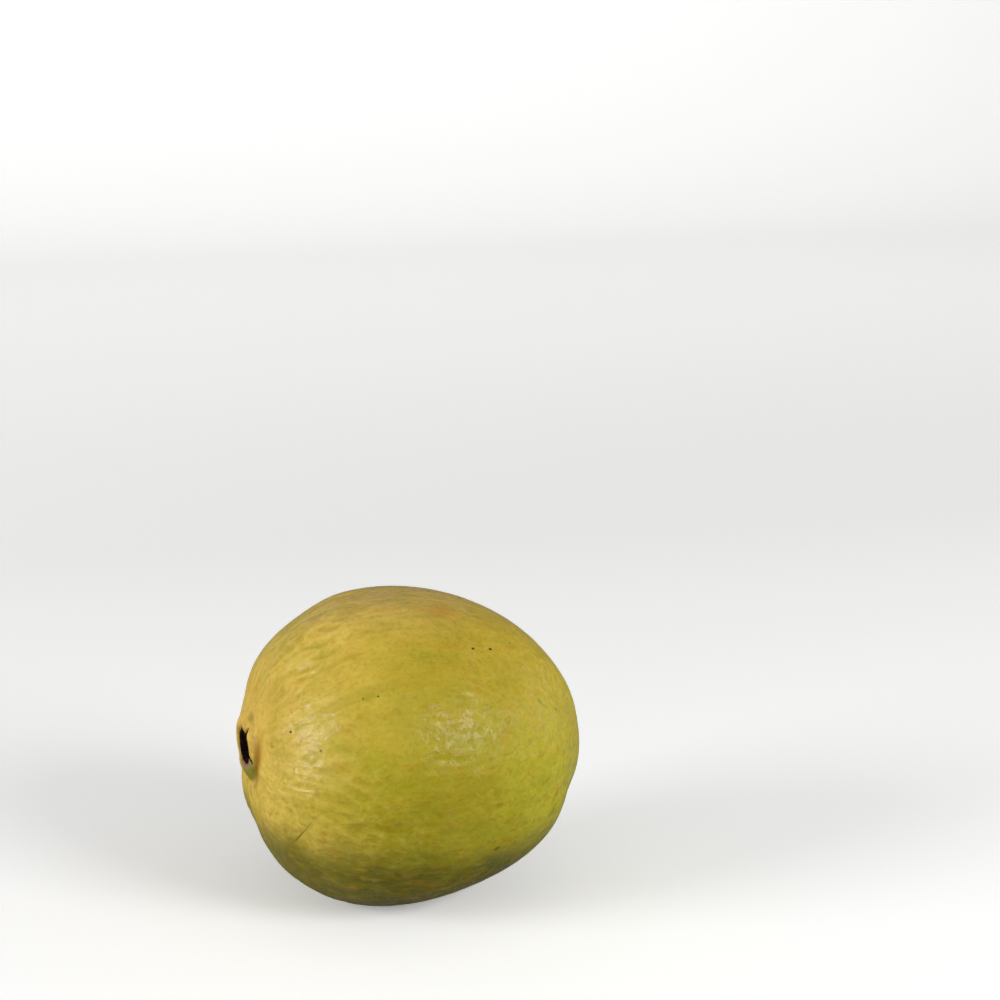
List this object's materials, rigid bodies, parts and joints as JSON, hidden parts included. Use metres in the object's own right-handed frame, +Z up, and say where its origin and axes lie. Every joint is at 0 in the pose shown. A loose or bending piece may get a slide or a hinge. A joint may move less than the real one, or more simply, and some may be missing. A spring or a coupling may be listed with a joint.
{
  "type": "guava",
  "caption": "Whole ripe guava lying on its side: oval, waxy skin, a split calyx mouth at one end and a stalk scar at the other.",
  "frame": {"origin": "on the surface that the fruit lies on, under the middle of the fruit's box", "axes": "+X along the fruit's long axis from the calyx end to the stem end, +Z up"},
  "size_m": [0.0888, 0.0824, 0.0803],
  "materials": {
    "skin": "waxy satin, yellow green with a peach tint at the calyx end"
  },
  "bodies": {
    "root": {"guava_fruit": "skin"}
  },
  "joints": []
}
